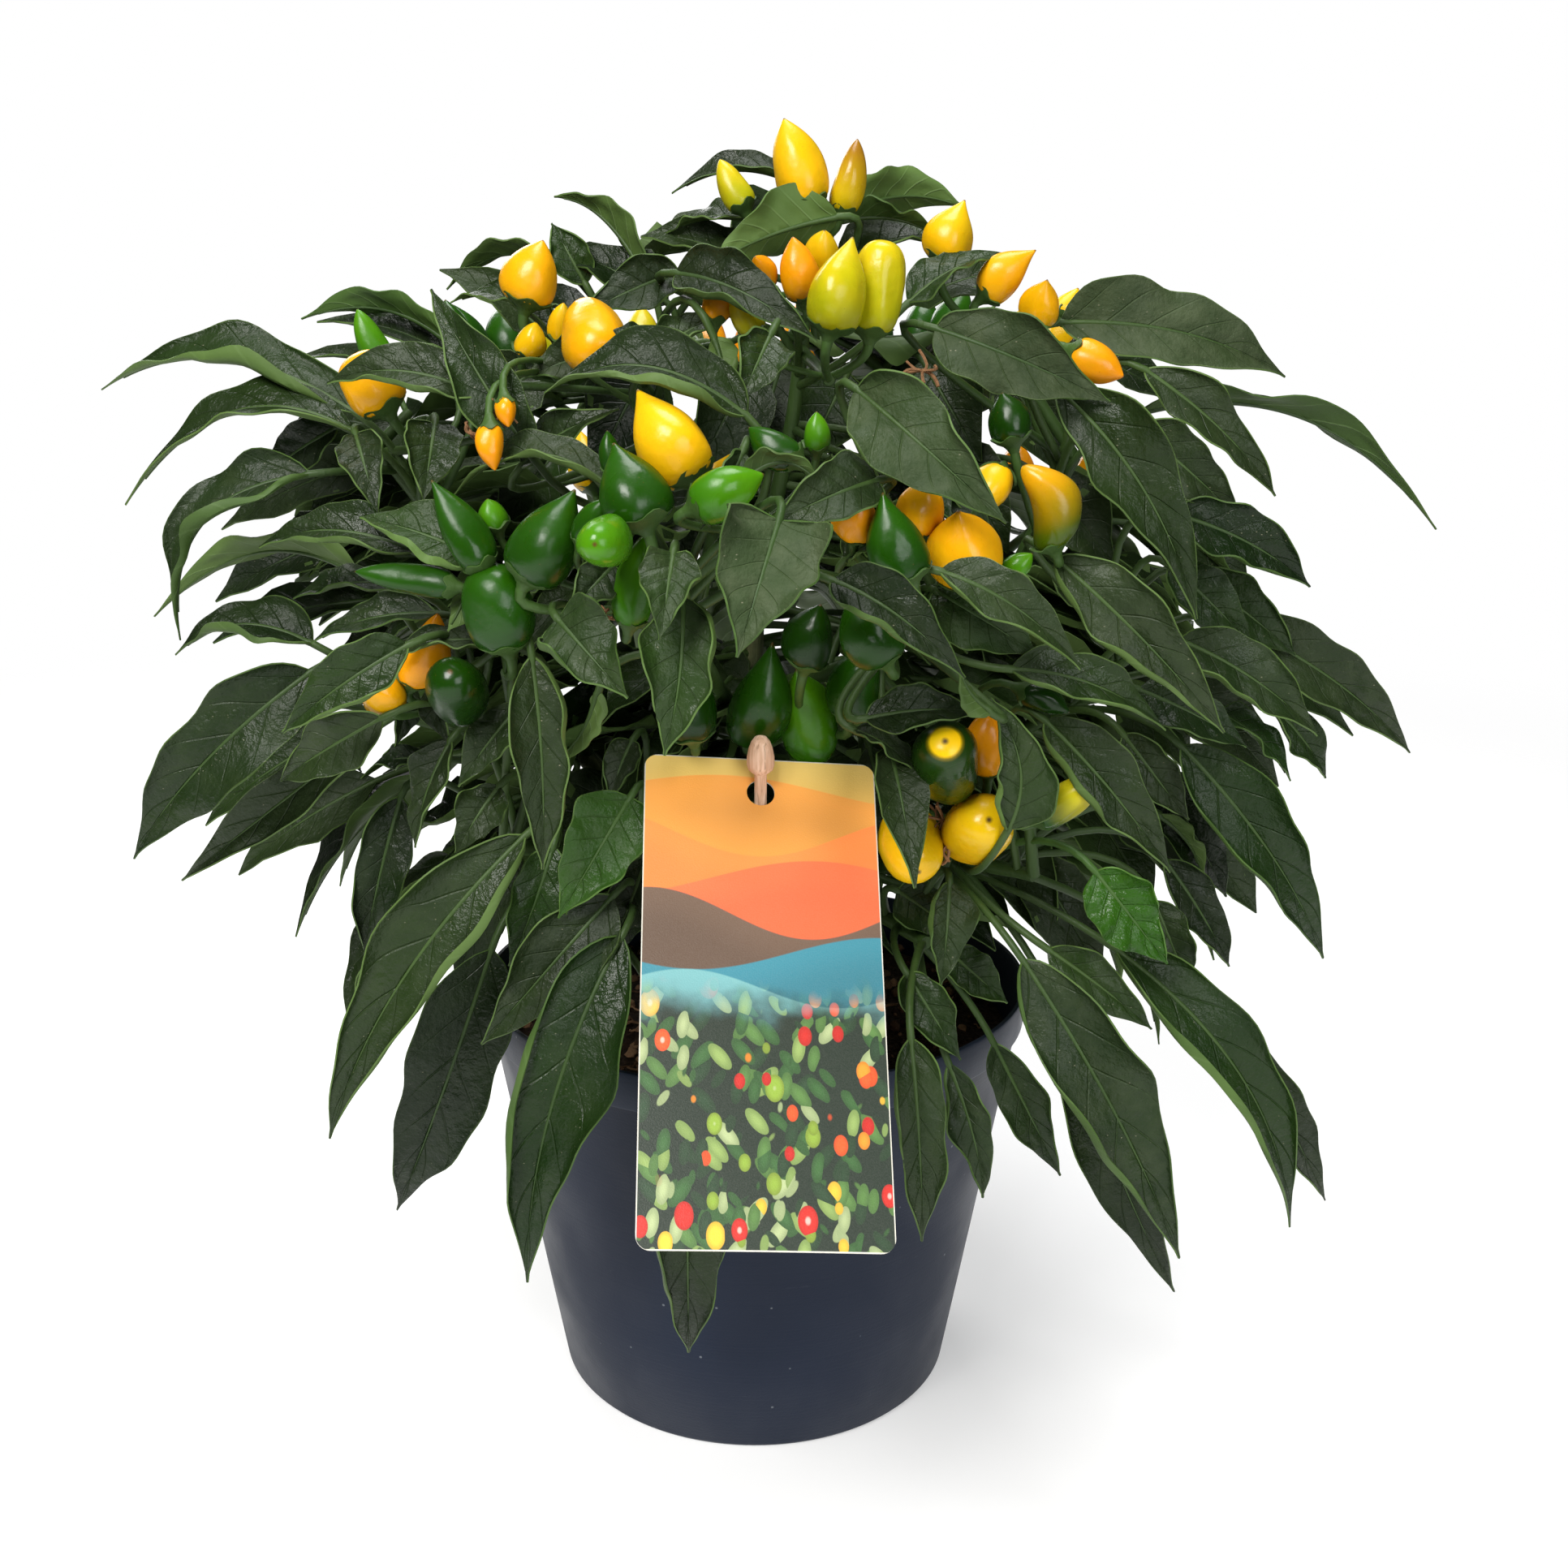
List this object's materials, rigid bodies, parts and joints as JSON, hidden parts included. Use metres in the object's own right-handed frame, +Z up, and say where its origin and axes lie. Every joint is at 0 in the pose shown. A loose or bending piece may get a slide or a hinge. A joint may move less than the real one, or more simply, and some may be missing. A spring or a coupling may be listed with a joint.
{
  "type": "potted chilli pepper plant",
  "caption": "Bushy ornamental chilli pepper plant with upright ripening fruits in a round tapered pot, with a label card on a stick.",
  "frame": {"origin": "centre of the pot's underside, at the surface it stands on", "axes": "+Z up, the plant's front with its label card faces -Y, +X to the viewer's right"},
  "size_m": [0.4141, 0.3376, 0.422],
  "materials": {
    "pot_plastic": "satin slate, lightly scuffed",
    "peat": "rough crumbly",
    "bark": "matte green stem",
    "leaf": "satin leaf",
    "stick_wood": "bare birch",
    "card_print": "printed card, satin",
    "fruit_yellow": "glossy skin",
    "fruit_orange": "glossy skin",
    "fruit_lime": "glossy skin",
    "fruit_green": "glossy skin"
  },
  "bodies": {
    "root": {"pot": "pot_plastic", "soil": "peat", "trunk": "bark", "label_stick": "stick_wood", "label_card": "card_print", "leafy_stem_back_1": "leaf", "leafy_stem_back_2": "leaf", "leafy_stem_back_3": "leaf", "leafy_stem_back_4": "leaf", "leafy_stem_back_5": "leaf", "leafy_stem_front_centre": "leaf", "leafy_stem_front_left_low": "leaf", "leafy_stem_front_right": "leaf", "leafy_stem_front_right_low": "leaf", "leafy_stem_left_lower": "leaf", "leafy_stem_left_middle": "leaf", "leafy_stem_left_upper": "leaf", "leafy_stem_right_lower": "leaf", "leafy_stem_right_middle": "leaf", "leafy_stem_right_upper": "leaf", "leafy_stem_top_left": "leaf", "leafy_stem_top_right": "leaf", "fruit_bunch_back_1": "fruit_yellow", "fruit_bunch_back_2": "fruit_green", "fruit_bunch_back_3": "fruit_orange", "fruit_bunch_back_4": "fruit_lime", "fruit_bunch_back_5": "fruit_green", "fruit_bunch_back_6": "fruit_orange", "fruit_bunch_back_7": "fruit_yellow", "fruit_bunch_centre_green": "fruit_green", "fruit_bunch_crown": "fruit_yellow", "fruit_bunch_east_bud": "fruit_green", "fruit_bunch_east_green": "fruit_green", "fruit_bunch_east_low_green": "fruit_green", "fruit_bunch_east_low_lime": "fruit_lime", "fruit_bunch_east_low_yellow": "fruit_yellow", "fruit_bunch_east_olive": "fruit_lime", "fruit_bunch_east_orange": "fruit_orange", "fruit_bunch_front_green": "fruit_green", "fruit_bunch_front_yellow": "fruit_yellow", "fruit_bunch_low_green": "fruit_green", "fruit_bunch_middle_green": "fruit_green", "fruit_bunch_top": "fruit_orange", "fruit_bunch_top_east": "fruit_yellow", "fruit_bunch_top_lime": "fruit_lime", "fruit_bunch_top_west": "fruit_orange", "fruit_bunch_west_dark": "fruit_green", "fruit_bunch_west_green": "fruit_green", "fruit_bunch_west_low_green": "fruit_green", "fruit_bunch_west_low_orange": "fruit_orange", "fruit_bunch_west_yellow": "fruit_yellow"}
  },
  "joints": []
}
